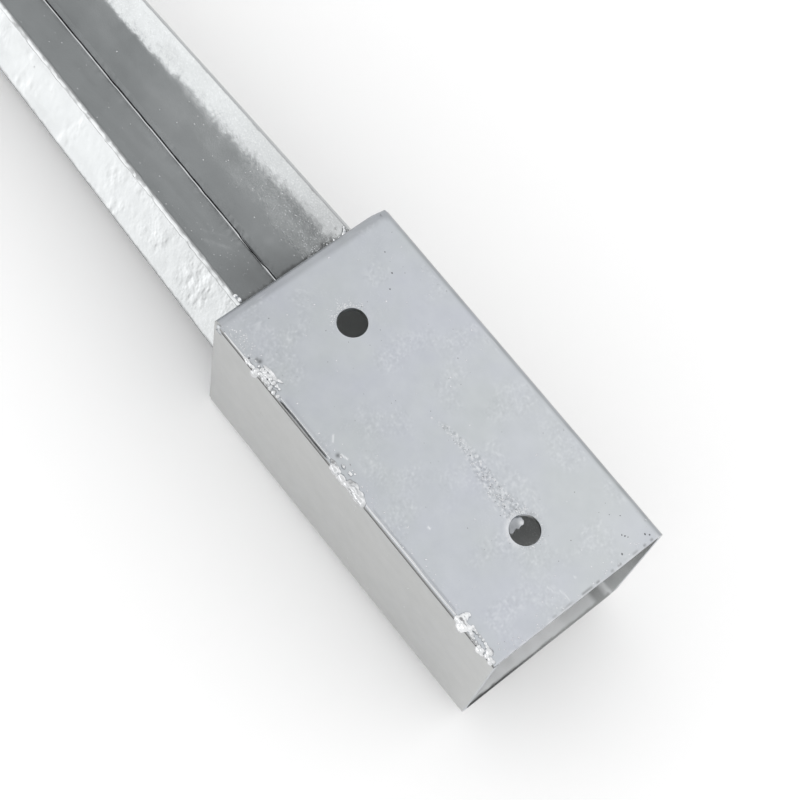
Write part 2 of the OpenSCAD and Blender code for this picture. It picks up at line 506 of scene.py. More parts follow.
# Dark flecks in the front wall: place along X and Y, and radius, in millimetres
FLECKS = (
    (20.5, 22.7, 0.30),
    (24.8, 18.3, 0.28),
    (12.8, 25.7, 0.22),
    (9.0, -22.0, 0.25),
    (16.6, -36.2, 0.35),
    (144.9, 20.7, 0.35),
    (139.9, 25.0, 0.25),
    (140.8, 25.6, 0.28),
    (141.7, 26.2, 0.22),
    (144.4, 31.5, 0.30),
    (145.5, 32.6, 0.30),
    (134.5, 29.0, 0.20),
    (119.0, 22.0, 0.20),
    (131.0, 10.0, 0.18),
    (88.0, 16.0, 0.16),
    (58.5, 21.0, 0.16),
)

# Pits in the front wall beside the stitches: place along X and Y, radius and depth, in millimetres
PITS = (
    (19.6, -33.9, 0.9, 0.5),
    (18.4, -34.3, 0.7, 0.4),
    (61.5, -33.6, 0.8, 0.3),
)

# Bright scrapes on the front wall: both ends along X and Y in millimetres, and their strength
SCRAPES = (
    ((138.2, -6.7), (141.3, -5.9), 0.3),
    ((141.6, -4.0), (146.1, -3.5), 0.35),
    ((56.9, -32.0), (55.0, -30.4), 0.5),
    ((98.9, -25.2), (99.6, -25.0), 0.6),
    ((62.0, -32.6), (64.5, -31.8), 0.7),
    ((141.0, 2.9), (141.5, 3.0), 0.5),
)
SCRAPE_WIDTH = 0.3 * MM


def is_front(face):
    return face.normal.z > 0.99 and face.calc_center_median().z > HALF - 0.2 * MM


def is_seam_edge(face):
    return is_front(face) and face.calc_center_median().y < -HALF + 4 * MM


def is_hole_rim(face):
    return is_front(face) and len(face.verts) > 4 and abs(face.calc_center_median().y) < HOLE_RIM + COARSE


def is_inside_mouth(face):
    centre = face.calc_center_median()
    seen = face.normal.z > 0.7 or face.normal.y < -0.7
    inner = max(abs(centre.y), abs(centre.z)) < INNER_HALF
    return seen and inner and centre.x > MOUTH_X - 6 * MM


def cut_socket():
    """Mesh of the socket's solid, cut finely on the front wall and on what the mouth shows."""
    bm = clean_solid("socket", SOCKET_ROUND)
    for direction in (X_AXIS, Y_AXIS, Z_AXIS):
        slice_faces(bm, lambda f: True, direction, COARSE)
    refine(bm, is_front, PARTS - 1)
    for direction in (X_AXIS, Y_AXIS):
        slice_faces(bm, is_hole_rim, direction, COARSE / PARTS)
    slice_faces(bm, is_seam_edge, Y_AXIS, 0.19 * MM, (-HALF + 0.3 * MM, -HALF + 3.6 * MM))
    refine(bm, is_inside_mouth, 4)
    return mesh_of(bm, "socket_sheet")


def front_marks(x, y, on_front, places):
    """Depth, dark and bright shares of the front wall: a painted falloff of light, zinc crumbs, a painted
    highlight on the mouth hole's rim, pits with painted shade, and scrapes.
    """
    depth = np.zeros(len(places))
    # Painted falloff of light: darker towards the closed end and the seam, lighter towards the mouth
    way = 0.5 * x / MOUTH_X + 0.25 * (y + HALF) / HALF
    dark = on_front * 0.10 * (1 - smoothstep(0.0, 0.5, way))
    bright = on_front * 0.10 * smoothstep(0.45, 0.9, way)
    crumbs = noise(places, 0.65 * MM, 56) + 0.6 * noise(places @ TURNED, 0.65 * MM, 58)
    patches = smoothstep(-0.1, 0.5, noise(places, 9 * MM, 57))
    crumbly = on_front * (0.2 * patches + 0.65 * along_streak(x, y))
    dark += 0.45 * crumbly * np.clip(crumbs - 0.1, 0, None)
    bright += 1.1 * crumbly * np.clip(-crumbs - 0.1, 0, None)
    from_hole = np.hypot(x - HOLE_MOUTH_X, y)
    # Painted highlight on one side of the mouth hole's rim
    rim_side = smoothstep(0, 4 * MM, RIM_SIDE[0] * (x - HOLE_MOUTH_X) + RIM_SIDE[1] * y)
    bright += 0.4 * on_front * rim_side * bump_at(from_hole, 6.0 * MM, 0.9 * MM)
    # Pits, with painted shade in them
    for pit_x, pit_y, radius, pit_depth in PITS:
        pit = on_front * bump_at(np.hypot(x - pit_x * MM, y - pit_y * MM), 0, radius * MM)
        depth += pit_depth * MM * pit
        dark = np.maximum(dark, 0.7 * pit)
    for start, stop, strength in SCRAPES:
        scrape = on_front * near_line(x, y, np.multiply(start, MM), np.multiply(stop, MM), SCRAPE_WIDTH)
        depth += 0.05 * MM * scrape
        bright = np.maximum(bright, strength * scrape)
    return depth, dark, bright


def seam_marks(x, y, on_front, places, normals):
    """Depth and dark share of the seam: painted shade in its open gap, hollow, crease and throat, and a
    darker top on the left wall beside it.

    It is open beside the corner between the first two stitches, and closed by a run further on.
    """
    from_seam = y + HALF
    wander = 0.1 * MM * noise(places * (1, 0, 0), 6 * MM, 17)
    open_stretch = on_front * between(35 * MM, 60 * MM, 1 * MM, x)
    closed_stretch = on_front * between(83 * MM, 126 * MM, 1 * MM, x)
    # Painted shade in the open gap and the hollow beside it, and in the crease of the closed stretch
    gap = open_stretch * bump_at(from_seam + wander, 0.5 * MM, 0.25 * MM)
    hollow = open_stretch * bump_at(from_seam, 2.0 * MM, 0.8 * MM)
    crease = closed_stretch * bump_at(from_seam + wander, 1.5 * MM, 0.3 * MM)
    marks = 0.85 * gap + 0.15 * hollow + 0.22 * crease
    z = places[:, 2]
    # The top of the left wall beside the seam is darker, and the throat between the sheets gets painted shade
    lip = (y < -HALF + 0.3 * MM) & (z > HALF - SHEET - 0.7 * SEAM_GAP) & (normals[:, 2] < 0.8)
    dark_lip = lip * (0.32 + 0.10 * noise(places, 5 * MM, 18))
    throat = (y < -HALF + SHEET) & (np.abs(z - HALF + SHEET + 0.5 * SEAM_GAP) < 0.6 * SEAM_GAP)
    depth = 0.5 * MM * gap + 0.1 * MM * hollow + 0.12 * MM * crease
    return depth, np.maximum.reduce((marks, dark_lip, 0.8 * throat))


def inside_marks(places, normals):
    """Rough, dark and bright shares inside the socket.

    Painted shade darkens it behind the mouth's hole, on the right wall towards the front, beside the bend and
    along the back wall's edge at the mouth. Painted light brightens the back wall at the opening, and the
    bend at the back right has a painted highlight.
    """
    x, y, z = places.T
    inside = (np.maximum(np.abs(y), np.abs(z)) < INNER_HALF) & (x > -0.2 * MM)
    at_opening = inside * smoothstep(MOUTH_X - 26 * MM, MOUTH_X - 16 * MM, x)
    on_back = at_opening * (normals[:, 2] > 0.7)
    on_right = at_opening * (normals[:, 1] < -0.7)
    bend = bump_at(np.hypot(y - HALF + 1.3 * SHEET, z + HALF - 1.3 * SHEET), 0, 0.9 * MM)
    blotches = smoothstep(-0.4, 0.6, noise(places, 4 * MM, 20))
    beside_bend = between(28 * MM, 33 * MM, 1.5 * MM, y)
    edge_line = smoothstep(MOUTH_X - 1.3 * MM, MOUTH_X - 0.6 * MM, x + 0.3 * MM * noise(places, 2 * MM, 39))
    # Painted shade
    inner_shade = np.maximum.reduce((
        inside * 0.37 * between(85 * MM, 126 * MM, 6 * MM, x),
        on_right * 0.55 * smoothstep(-32 * MM, 30 * MM, z),
        on_back * 0.30 * beside_bend,
        on_back * edge_line * (0.9 - 0.6 * smoothstep(-22 * MM, 18 * MM, y)),
    ))
    # Painted light on the back wall at the opening, and a painted highlight on the bend at the back right
    lit = on_back * (0.75 + 0.25 * blotches) * (1 - edge_line) * (1 - beside_bend)
    return 0.3 * inside * blotches, inner_shade, np.maximum(lit, 0.9 * at_opening * bend)


# Socket: the CAD solid, given the unevenness of dipped zinc
socket_mesh = cut_socket()
places = vertex_places(socket_mesh)
normals = area_normals(socket_mesh)
x, y, on_front = on_face("front", places, normals)
rough = on_front * front_roughness(x, y, places)
mark_depth, dark, bright = front_marks(x, y, on_front, places)
seam_depth, seam_dark = seam_marks(x, y, on_front, places, normals)
dark = np.maximum(dark, seam_dark)
height = 0.03 * MM * noise(places, 11 * MM, 1) + 0.012 * MM * noise(places, 3 * MM, 2)
height += 0.10 * MM * rough * noise(places, 1.2 * MM, 3) - mark_depth - seam_depth
places = places + normals * height[:, None]

# The end plate's fold and the front-right bend get painted shade, and the corner beside the fold is knocked
# in a little
x, y, z = places.T
fold = (1 - smoothstep(1.4 * MM, 4 * MM, x)) * smoothstep(HALF - 4 * MM, HALF - 2 * MM, z)
dark = np.maximum(dark, fold * (0.24 + 0.07 * noise(places, 4 * MM, 19)))
right_bend = smoothstep(HALF - 3.2 * MM, HALF - 1.6 * MM, y) * smoothstep(HALF - 4.5 * MM, HALF - 3 * MM, z)
dark = np.maximum(dark, right_bend * (0.30 + 0.08 * noise(places, 4 * MM, 42)))
corner = smoothstep(30.5 * MM, 37.5 * MM, y) * smoothstep(24 * MM, 35 * MM, z)
places[:, 0] += 0.9 * MM * corner * (1 - smoothstep(-2 * MM, 9 * MM, x))

# The front wall's mouth edge is ragged, with a painted highlight along it, dark dashes on its end face, and a
# thin painted shadow just inside the edge
at_mouth = smoothstep(MOUTH_X - 0.9 * MM, MOUTH_X - 0.3 * MM, x)
ragged = at_mouth * (z > HALF - 1.2 * SHEET)
places[:, 0] -= ragged * 0.06 * MM * (1 + noise(places * (0, 1, 1), 1.1 * MM, 16))
bright = np.maximum(bright, on_front * at_mouth * (0.15 + 0.2 * noise(places * (0, 1, 1), 2 * MM, 37)))
dashes = smoothstep(-0.1, 0.3, noise(places * (0, 1, 1), 1.6 * MM, 38))
dark = np.maximum(dark, 0.6 * dashes * ragged * (1 - on_front))
burr_shadow = on_front * bump_at(x, MOUTH_X - 0.8 * MM, 0.4 * MM) * smoothstep(-22 * MM, 0, y)
dark = np.maximum(dark, 0.6 * dashes * burr_shadow)

# The inside, and the materials of the front, the sides and the inside
inside_rough, inside_dark, inside_bright = inside_marks(places, normals)
rough = rough + inside_rough
dark = np.maximum(dark, inside_dark)
bright = np.maximum(bright, inside_bright)
move_vertices(socket_mesh, places)
for material in (ZINC["galvanised_sheet"], ZINC_SIDE_LIT, ZINC_INSIDE_LIT):
    socket_mesh.materials.append(material)
for polygon in socket_mesh.polygons:
    centre, normal = polygon.center, polygon.normal
    if max(abs(centre.y), abs(centre.z)) < INNER_HALF and centre.x > -0.2 * MM:
        polygon.material_index = 2
    elif abs(normal.y) > 0.75 or normal.z < -0.75:
        polygon.material_index = 1
finished("socket_sheet", socket_mesh, "galvanised_sheet", ["socket"], rough, dark, bright)

# Dark spots of painted shade in pits at the front-right fin's weld: place along X, reach and radius, in
# millimetres
WELD_SPOTS = ((-8.6, 24.5, 1.0), (-8.0, 28.6, 0.7), (-8.9, 32.6, 0.8), (-7.2, 31.0, 0.6))


def front_right_zinc(places, normals):
    """Rough, dark and bright shares on the front-right fin's valley face, and the lean of its normals.

    A ragged step in the zinc runs along the fin. Inside it the face leans back and mirrors the dark valley.
    Painted shade darkens it near the socket and in pits at the weld, and painted light brightens its root
    near the socket.
    """
    x, u, lies = on_face("front_right_valley", places, normals)
    near = smoothstep(-125 * MM, -45 * MM, x)
    nearest = smoothstep(-50 * MM, -30 * MM, x)
    root = (10.6 + 4.1 * near - 1.7 * nearest) * MM
    ragged = 0.5 * MM * noise(places, 3 * MM, 7) + 0.35 * MM * noise(places, 1 * MM, 27)
    shift = 2.5 * MM * nearest
    band = smoothstep(19.5 * MM, (22.5 + 9 * near) * MM, u - shift + (1 + near) * ragged)
    tilt = 0.75 * np.clip(u - root, 0, None) / MM * (1 - band) + 3 * band * noise(places, 0.9 * MM, 12)
    lean = -(lies * np.tan(np.radians(tilt)))[:, None] * FIN["front_right"]
    specked = smoothstep(-60 * MM, -20 * MM, x)
    specked *= bump_at(u + 2 * MM * noise(places, 3.5 * MM, 28), 20 * MM, 6 * MM)
    rough = 0.12 * band + 0.3 * specked
    # Painted shade near the socket
    darkened = 0.14 * smoothstep(-38 * MM, -12 * MM, x) * smoothstep(8 * MM, 15 * MM, u)
    darkened += 0.20 * smoothstep(-95 * MM, -25 * MM, x) * smoothstep(20 * MM, 27 * MM, u)
    # Painted shade in the pits at the weld
    for spot_x, spot_u, radius in WELD_SPOTS:
        spot = bump_at(np.hypot(x - spot_x * MM, u - spot_u * MM), 0, radius * MM)
        darkened = np.maximum(darkened, 0.8 * spot)
    # Painted light on the root near the socket
    lit = 0.13 * smoothstep(-110 * MM, -80 * MM, x) * (1 - smoothstep(10 * MM, 15 * MM, u))
    return lies * rough, lies * darkened, lies * lit, lean


def back_left_zinc(places, normals):
    """Height, rough, dark and bright shares of the crinkled zinc on the back-left fin's upper face."""
    x, u, lies = on_face("back_left_inner", places, normals)
    near = smoothstep(-120 * MM, -20 * MM, x)
    crease = 0.3 * X_AXIS + 0.95 * FIN["back_left"]
    down_light = 0.95 * X_AXIS - 0.3 * FIN["back_left"]
    drawn = places - 0.3 * (places @ crease)[:, None] * crease
    uneven = 0.35 + 1.0 * smoothstep(-0.35, 0.45, noise(places, 8 * MM, 55))
    relief = np.zeros(len(places))
    slope = np.zeros(len(places))
    for weight, size, seed in ((0.4, 4 * MM, 13), (0.5, 1.8 * MM, 14), (0.25 + 0.4 * near, 0.8 * MM, 15)):
        here = noise(drawn, size, seed)
        relief += weight * size * here
        slope += weight * uneven * (here - noise(drawn + 0.35 * size * down_light, size, seed))
    height = (0.6 + 0.4 * near) * 0.025 * uneven * relief
    # Painted shade and painted highlights on the crinkles, as if lit from one side; the face is also darker
    # towards the socket and lighter away from it
    darkened = (0.30 + 0.20 * near) * np.clip(slope, 0, None) + 0.04 * smoothstep(-110 * MM, -70 * MM, x)
    darkened += 0.06 * smoothstep(-70 * MM, -40 * MM, x)
    lit = (0.30 + 0.20 * near) * np.clip(-slope, 0, None) + 0.06 * (1 - near)
    # Painted shade along the outer edge
    to_edge = FIN_REACH + FIN_TAPER * x - u + 0.3 * MM * noise(places, 1.5 * MM, 35)
    darkened = np.maximum(darkened, 0.5 * smoothstep(1.1 * MM, 0.5 * MM, to_edge))
    return lies * height, lies * 0.10, lies * darkened, lies * lit


def front_left_zinc(places, normals):
    """Dark and bright shares on the front-left fin's valley face: painted shade beside the socket, and bright
    smears.
    """
    x, u, lies = on_face("front_left_valley", places, normals)
    # Painted shade beside the socket, fading outwards
    darkened = 0.41 * smoothstep(-34 * MM, -12 * MM, x) * (1 - 0.7 * smoothstep(14 * MM, 34 * MM, u))
    smears = 0.22 * near_line(x, u, (-33.5 * MM, 26 * MM), (-29 * MM, 14 * MM), 1.0 * MM)
    smears += 0.15 * near_line(x, u, (-38 * MM, 22 * MM), (-35 * MM, 11 * MM), 0.7 * MM)
    return lies * darkened, lies * smears * (1 + noise(places, 1.5 * MM, 36))


def front_left_edge(places):
    """Lift of the ragged zinc along the front-left fin's outer edge, its darker share along the edge, and a
    painted highlight on the bevel under it.
    """
    origin, _, out, normal = FACE["front_left_valley"]
    at_edge = smoothstep(-1.5 * MM, -0.7 * MM, places @ out - FIN_REACH - FIN_TAPER * places[:, 0])
    at_edge *= smoothstep(NEAR_X - 20 * MM, NEAR_X + 10 * MM, places[:, 0])
    under = smoothstep(0.9 * MM, 1.3 * MM, (origin - places) @ normal)
    bumps = noise(places, 1.7 * MM, 53) + 0.7 * noise(places, 1.1 * MM, 54)
    darkened = (1 - 0.8 * under) * (0.26 + 0.25 * bumps)
    # Painted highlight on the bevel under the edge
    shiny = 0.25 * under * (1 - 0.8 * smoothstep(-50 * MM, -20 * MM, places[:, 0]))
    return at_edge * 0.2 * MM * bumps, at_edge * darkened, at_edge * shiny


def joint_shadow_line(places, normals):
    """Painted shadow: a dark line along the fins' ends, where the end plate's fold starts to hide them."""
    line = np.zeros(len(places))
    hidden = SIGHT_X - SIGHT_SLOPE * (SIGHT_Z - places[:, 2])
    uneven = 0.7 * MM * noise(places, 1.6 * MM, 26)
    for face in ("front_right_valley", "front_left_valley"):
        x, _, lies = on_face(face, places, normals)
        line += lies * smoothstep(-1.9 * MM, -0.6 * MM, x - hidden + uneven)
    return line


def lies_on(name, from_x=NEAR_X, from_reach=0):
    """Test for mesh faces that lie on a named face of a fin, close to the socket."""
    origin, _, out, normal = (Vector(v) for v in FACE[name])

    def test(face):
        centre = face.calc_center_median()
        if centre.x < from_x or centre.dot(out) < from_reach:
            return False
        return face.normal.dot(normal) > 0.9 and abs((centre - origin).dot(normal)) < 0.3 * MM

    return test


# The stretch of crinkled zinc that is seen closest, which is divided once more
is_crinkled = lies_on("back_left_inner", -100 * MM, 12 * MM)

# Fins: both bent angles, cut finely near the socket, and finest on the faces that the light rakes
for node, arms, fine_face in (
    ("spike_left", ("front_left", "back_left"), "back_left_inner"),
    ("spike_right", ("front_right", "back_right"), "front_right_valley"),
):
    angle_bm = clean_solid(node, FIN_ROUND)
    slice_faces(angle_bm, lambda f: True, X_AXIS, COARSE)
    for arm in arms:
        out = Vector(FIN[arm])
        slice_faces(angle_bm, lambda f: f.calc_center_median().dot(out) > 2 * MM, out, 1 * MM)
    refine(angle_bm, lambda f: f.calc_center_median().x > NEAR_X, 2, X_AXIS)
    refine(angle_bm, lies_on(fine_face), 1)
    refine(angle_bm, is_crinkled, 1)
    angle_mesh = mesh_of(angle_bm, node + "_sheet")
    places = vertex_places(angle_mesh)
    normals = area_normals(angle_mesh)
    specks, right_shade, right_lit, lean = front_right_zinc(places, normals)
    crinkles, crinkle_rough, crinkle_dark, crinkle_lit = back_left_zinc(places, normals)
    left_shade, smears = front_left_zinc(places, normals)
    edge_lift, edge_dark, edge_lit = front_left_edge(places)
    height = 0.05 * MM * noise(places, 12 * MM, 9) + 0.015 * MM * noise(places, 4 * MM, 10)
    height += crinkles + edge_lift + specks * 0.10 * MM * noise(places, 1.5 * MM, 11)
    # Painted shade in the groove along the spine
    groove = 1 - smoothstep(1.6 * MM, 2.6 * MM, np.hypot(places[:, 1], places[:, 2]))
    blotches = 0.07 * smoothstep(0.0, 0.7, noise(places * (0.35, 1, 1), 5 * MM, 40))
    # Random blotches, with the painted shadow at the fins' ends, the painted shade in the groove and the
    # fins' own dark shares
    stains_and_shade = [0.75 * joint_shadow_line(places, normals), 0.5 * groove, blotches]
    stains_and_shade += [right_shade, crinkle_dark, left_shade, edge_dark]
    rough = specks + crinkle_rough
    dark = np.maximum.reduce(stains_and_shade)
    bright = smears + crinkle_lit + right_lit + edge_lit
    move_vertices(angle_mesh, places + normals * height[:, None])
    finished(node + "_sheet", angle_mesh, "galvanised_fin", [node], rough, dark, bright, lean)

# Middle stitch weld on the corner seam: where it starts and stops along X, and its reach over the front wall
STITCH_FROM, STITCH_TO, STITCH_REACH = 61.7, 81.7, 3.6

# Strands of the first stitch, drawn out over the front wall: both ends along X and across it, and radius,
# in millimetres
STRANDS = (
    ((15.6, 0.1), (20.4, 0.4), 0.8),
    ((19.8, 0.6), (33.2, 0.6), 1.2),
    ((21.0, 2.2), (31.6, 2.6), 1.1),
    ((21.8, 3.6), (27.4, 4.1), 0.8),
    ((26.6, 3.2), (30.4, 4.9), 0.6),
    ((22.6, 1.0), (28.4, 3.6), 0.9),
)

# Balls of weld metal, most of them in the last stitch: place along X, how far over the front wall, or below
# zero down the left wall, and radius, in millimetres
BALLS = (
    (21.6, -1.4, 1.4),
    (128.4, 0.4, 1.0),
    (129.8, 1.0, 1.7),
    (129.4, 2.2, 1.5),
    (129.4, 3.2, 1.2),
    (129.7, 4.0, 0.9),
    (131.2, -1.0, 1.8),
    (132.0, 0.6, 1.5),
    (133.4, 1.4, 1.1),
    (133.6, 2.6, 0.7),
    (134.8, 2.4, 0.6),
    (135.2, 0.8, 0.8),
    (136.0, 2.4, 0.6),
    (136.6, 0.3, 0.7),
    (137.4, 2.5, 0.55),
    (138.2, 0.2, 0.7),
    (138.9, 2.5, 0.55),
    (139.8, 0.3, 0.7),
    (140.3, 2.4, 0.55),
    (140.5, -1.4, 1.2),
    (141.6, 2.1, 0.7),
    (141.4, 0.2, 0.8),
    (142.0, -2.0, 0.8),
    (143.2, 1.7, 1.4),
    (143.6, 0.2, 0.8),
    (145.3, 0.4, 0.9),
    (146.6, 0.7, 0.7),
    (146.0, -1.0, 0.8),
)

# Stitch welds, in millimetres from the seam's corner. The middle one is a chain of lumps with spatter.
lumps = []
at = STITCH_FROM + 1.4
while at < STITCH_TO - 1.2:
    for _ in range(3):
        over = rng.uniform(-1, 1)
        size = rng.uniform(0.8, 1.4) * (1.15 - 0.5 * abs(over))
        spot = np.array((at + rng.uniform(-0.8, 0.8), max(over, 0) * STITCH_REACH, min(over, 0) * 2.2))
        radii = size * np.array((rng.uniform(1.0, 2.0), rng.uniform(0.7, 1.0), rng.uniform(0.7, 1.0)))
        lumps.append((spot, radii))
    at += rng.uniform(1.1, 1.9)
for _ in range(7):
    spot = np.array((rng.uniform(STITCH_FROM, STITCH_TO - 1), STITCH_REACH + rng.uniform(0.2, 1.8), -0.1))
    lumps.append((spot, rng.uniform(0.2, 0.45) * np.array((1.5, 1.0, 1.0))))
for start, stop, size in STRANDS:
    for share in np.linspace(0, 1, 8):
        place = np.append((1 - share) * np.array(start) + share * np.array(stop), 0)
        lumps.append((place, size * (1 - 0.45 * (2 * share - 1) ** 2) * rng.uniform(0.8, 1.1, 3)))
for lump_x, over, size in BALLS:
    lumps.append((np.array((lump_x, max(over, 0), min(over, 0))), size * np.array((1.2, 1, 1))))
seam_corner = np.array((0, -HALF, HALF))
lumps = [(seam_corner + spot * MM, radii * MM) for spot, radii in lumps]


def last_stitch_glow(places):
    """Painted highlight that makes the last stitch the brightest, most of all at its first lumps."""
    share = 0.85 * between(127 * MM, 134 * MM, 0.6 * MM, places[:, 0])
    share += 0.5 * between(139.6 * MM, 147 * MM, 0.6 * MM, places[:, 0])
    return share * (0.8 + 0.3 * noise(places, 1.3 * MM, 30))


melted(
    "seam_stitches", lumps, "galvanised_weld", 0.16 * MM, 0.24 * MM, 0.6, ["seam_welds"], last_stitch_glow
)

# Bright zinc runs along the seam's edge: first and last place along X, distance from the corner and radius
runs = []
for start, stop, from_corner, radius in ((4, 18, 0.35, 0.32), (34, 62, 1.05, 0.2), (80, 128, 0.75, 0.42)):
    stations = np.arange(start, stop, 0.5) * MM
    row = stations[:, None] * X_AXIS + (from_corner * MM - HALF) * Y_AXIS
    row += (HALF - 0.4 * radius * MM) * Z_AXIS
    row += 0.12 * MM * noise(row, 7 * MM, 31)[:, None] * Y_AXIS
    runs.append((row, radius * MM * (1 + 0.35 * noise(row, 3 * MM, 32))))
finished("seam_run", tubes("seam_run", runs, 10), "galvanised_weld")

# Zinc that has filled the small relief cut beside the end plate's fold
fill = [
    (
        (rng.uniform(0.2, 3.0) * MM, rng.uniform(1.0, 1.5) * MM - HALF, HALF - rng.uniform(2.2, 5.0) * MM),
        (1.1 * MM,) * 3,
    )
    for _ in range(14)
]
melted("corner_zinc", fill, "galvanised_sheet", 0.25 * MM, 0.1 * MM, 0.3)

# Rough zinc beads on the front wall's mouth edge
beads = [
    ((MOUTH_X - 0.45 * MM, y * MM, HALF - rng.uniform(0.3, 1.3) * MM), rng.uniform(0.25, 0.5, 3) * MM)
    for y in np.arange(-31, 33, 0.55)
    if rng.random() < 0.55
]
melted("mouth_beads", beads, "galvanised_sheet", 0.14 * MM, 0.08 * MM, 0.5)

# Bits of weld metal on the front fins: the face, place along X, reach and radius, in millimetres
WELD_BITS = (
    ("front_right_valley", -4.8, 33.4, 1.0),
    ("front_right_valley", -5.9, 34.6, 0.9),
    ("front_right_valley", -6.9, 35.2, 0.7),
    ("front_right_valley", -5.2, 31.4, 0.8),
    ("front_right_valley", -6.3, 29.2, 0.6),
    ("front_right_valley", -7.0, 26.2, 0.6),
    ("front_left_valley", -5.6, 35.6, 0.8),
    ("front_left_valley", -7.4, 35.9, 0.7),
)

# Fillet welds at the fins' ends: small lumps along both faces of each fin, larger towards its edge
lumps = []
for face in FACE:
    if face in WALLS:
        continue
    origin, _, out, normal = FACE[face]
    for reach in np.arange(14 * MM, FIN_REACH, 1.2 * MM):
        size = rng.uniform(0.9, 1.7) * MM
        off_plate = rng.uniform(0.0, 0.6) * MM + 0.9 * MM * smoothstep(26 * MM, 33 * MM, reach)
        spot = origin + reach * out + 0.2 * MM * normal + (PLATE_X - off_plate) * X_AXIS
        lumps.append((spot, size * rng.uniform(0.8, 1.2, 3)))
for face, bit_x, reach, size in WELD_BITS:
    origin, along, out, _ = FACE[face]
    lumps.append((origin + bit_x * MM * along + reach * MM * out, size * MM * np.array((1.2, 0.9, 0.9))))
melted("fin_welds", lumps, "galvanised_weld", 0.25 * MM, 0.3 * MM, 0.7, ["spike_welds"])

# Runs along the spine: thin and broken, deep in the front and back groove
stations = np.arange(TIP_X, PLATE_X, 1.0 * MM)
stations[-1] = PLATE_X
runs = []
for side in (1, -1):
    up = side * across_spike(90 - SPIKE_TURN)
    beside = side * across_spike(-SPIKE_TURN)
    row = stations[:, None] * X_AXIS + 2.0 * MM * up - 0.28 * MM * beside
    sink = smoothstep(0.2, 0.6, noise(row, 8 * MM, 41 + side))
    row = row + (0.15 * MM * noise(row, 4 * MM, 44) - 0.8 * MM * sink)[:, None] * up
    runs.append((row, 0.36 * MM + 0.10 * MM * noise(row, 3 * MM, 46) - 0.12 * MM * sink))
finished("spine_run", tubes("spine_run", runs, 10), "galvanised_weld", ["spine_runs"])


def even(low, high):
    """Draws places evenly between two limits."""
    return lambda: rng.uniform(low, high)


def around(middle, spread):
    """Draws places that crowd about a middle."""
    return lambda: rng.normal(middle, spread)


def fading(start, spread):
    """Draws places that thin out from a start, to the side that the sign of the spread gives."""
    return lambda: start + math.copysign(rng.exponential(abs(spread)), spread)


def scatter(count, face, along, across, radius, kept=None):
    """Adds pimples at random places. along and across each draw a place, and radius is a range."""
    for _ in range(count):
        a, b, size = along() * MM, across() * MM, rng.uniform(*radius) * MM
        if kept is None or rng.random() < kept(np.array([a]), np.array([b]))[0]:
            spots.append((face, a, b, size))


def ring(count, middle, turns, inner, spread, radius):
    """Adds pimples round a hole of the front wall."""
    for _ in range(count):
        turn = rng.uniform(*turns)
        reach = (inner + abs(rng.normal(0, spread))) * MM
        size = rng.uniform(*radius) * MM
        spots.append(("front", middle + reach * math.cos(turn), reach * math.sin(turn), size))


# Pimples: scattered over the walls and fins, and crowded where the zinc is rough
spots = []
scatter(45, "front", even(3, 146), even(-35, 34), (0.12, 0.32))
scatter(650, "front", even(*STREAK_SPAN), even(*STREAK_ACROSS), (0.10, 0.26), along_streak)
scatter(25, "front", around(20, 1.5), around(0.5, 2.2), (0.10, 0.22))
ring(60, HOLE_END_X, (1.9, 4.2), 6.0, 0.9, (0.10, 0.26))
ring(60, HOLE_MOUTH_X, (0, 2 * math.pi), 5.9, 0.7, (0.10, 0.22))
scatter(60, "front", even(2, 146), fading(-36.6, 2.2), (0.12, 0.3))
scatter(60, "front", even(3, 16), even(-36.2, -31.5), (0.10, 0.24))
scatter(50, "front", fading(147.1, -2), even(-34, 35), (0.12, 0.28))
for wall in ("left", "right", "back"):
    scatter(14, wall, even(5, 145), even(-33, 31), (0.12, 0.25))
scatter(170, "front_right_valley", fading(-6, -17), around(19, 3.2), (0.08, 0.24))
scatter(60, "front_right_valley", fading(-6, -15), even(20, 34), (0.08, 0.22))
scatter(60, "front_left_valley", fading(-6, -32), even(8, 33), (0.08, 0.26))
for face in FACE:
    if face not in WALLS:
        scatter(40, face, even(-480, -8), even(6, 34), (0.15, 0.35))


def has_ground(spot):
    """False for a pimple that would hang over a hole or over a fin's tapered edge."""
    face, a, b, _ = spot
    if face in WALLS:
        return min(math.hypot(a - HOLE_END_X, b), math.hypot(a - HOLE_MOUTH_X, b)) > HOLE_RIM
    return b < FIN_REACH - 2 * MM + FIN_TAPER * a


for name, slot, chosen in (
    ("socket_pimples", "galvanised_sheet", [s for s in spots if s[0] in WALLS]),
    ("fin_pimples", "galvanised_fin", [s for s in spots if s[0] not in WALLS]),
):
    mesh = domes(name, [s for s in chosen if has_ground(s)], (0.4, 0.7))
    mesh.materials.append(ZINC_SPARK)
    finished(name, mesh, slot)

# Dark flecks: those that the photo shows, and fine ones all over the front wall
spots = [("front", a * MM, b * MM, radius * MM) for a, b, radius in FLECKS]
scatter(90, "front", even(3, 146), even(-34, 34), (0.06, 0.15))
scatter(140, "front", even(*STREAK_SPAN), even(*STREAK_ACROSS), (0.10, 0.17), along_streak)
flecks_mesh = domes("front_flecks", [s for s in spots if has_ground(s)], (0.1, 0.15))
finished("front_flecks", flecks_mesh, "galvanised_sheet", dark=np.full(len(flecks_mesh.vertices), 0.75))

